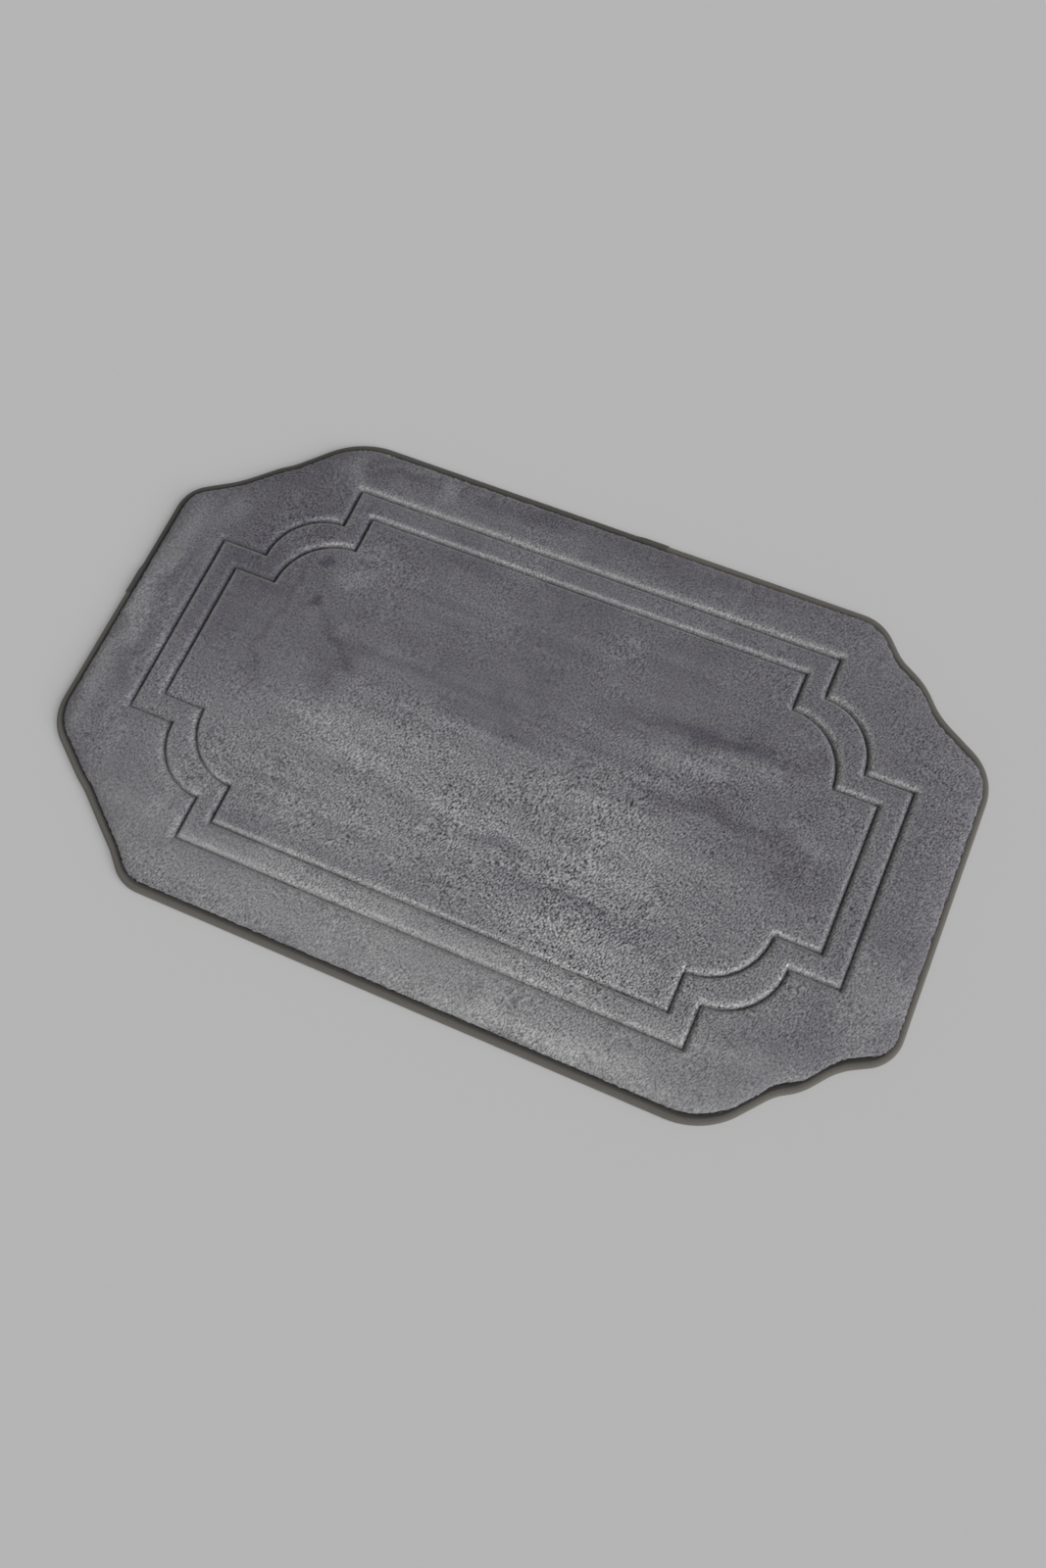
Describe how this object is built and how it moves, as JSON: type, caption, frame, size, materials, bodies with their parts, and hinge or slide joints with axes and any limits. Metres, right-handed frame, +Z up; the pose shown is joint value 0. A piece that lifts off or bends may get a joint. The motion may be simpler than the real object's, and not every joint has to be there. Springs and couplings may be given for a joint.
{
  "type": "bath mat",
  "caption": "Plush memory-foam bath mat, long octagonal outline with wavy cut corners, embossed double frame, bound edge and grip-dot underside.",
  "frame": {"origin": "middle of the mat's box, on the floor that the grip dots stand on", "axes": "+X along the mat's length, +Y towards its back side, +Z up out of the pile"},
  "size_m": [0.7999, 0.4869, 0.016],
  "materials": {
    "pile": "matte",
    "foam": "matte",
    "backing": "matte",
    "dots": "satin",
    "tape": "matte",
    "thread": "satin",
    "label": "satin"
  },
  "bodies": {
    "root": {"plush_cover": "pile", "memory_foam_core": "foam", "backing_fabric": "backing", "grip_dot_layer": "dots", "binding_tape_long": "tape", "binding_tape_short": "tape", "needle_thread": "thread", "bobbin_thread": "thread", "care_label": "label"}
  },
  "joints": []
}
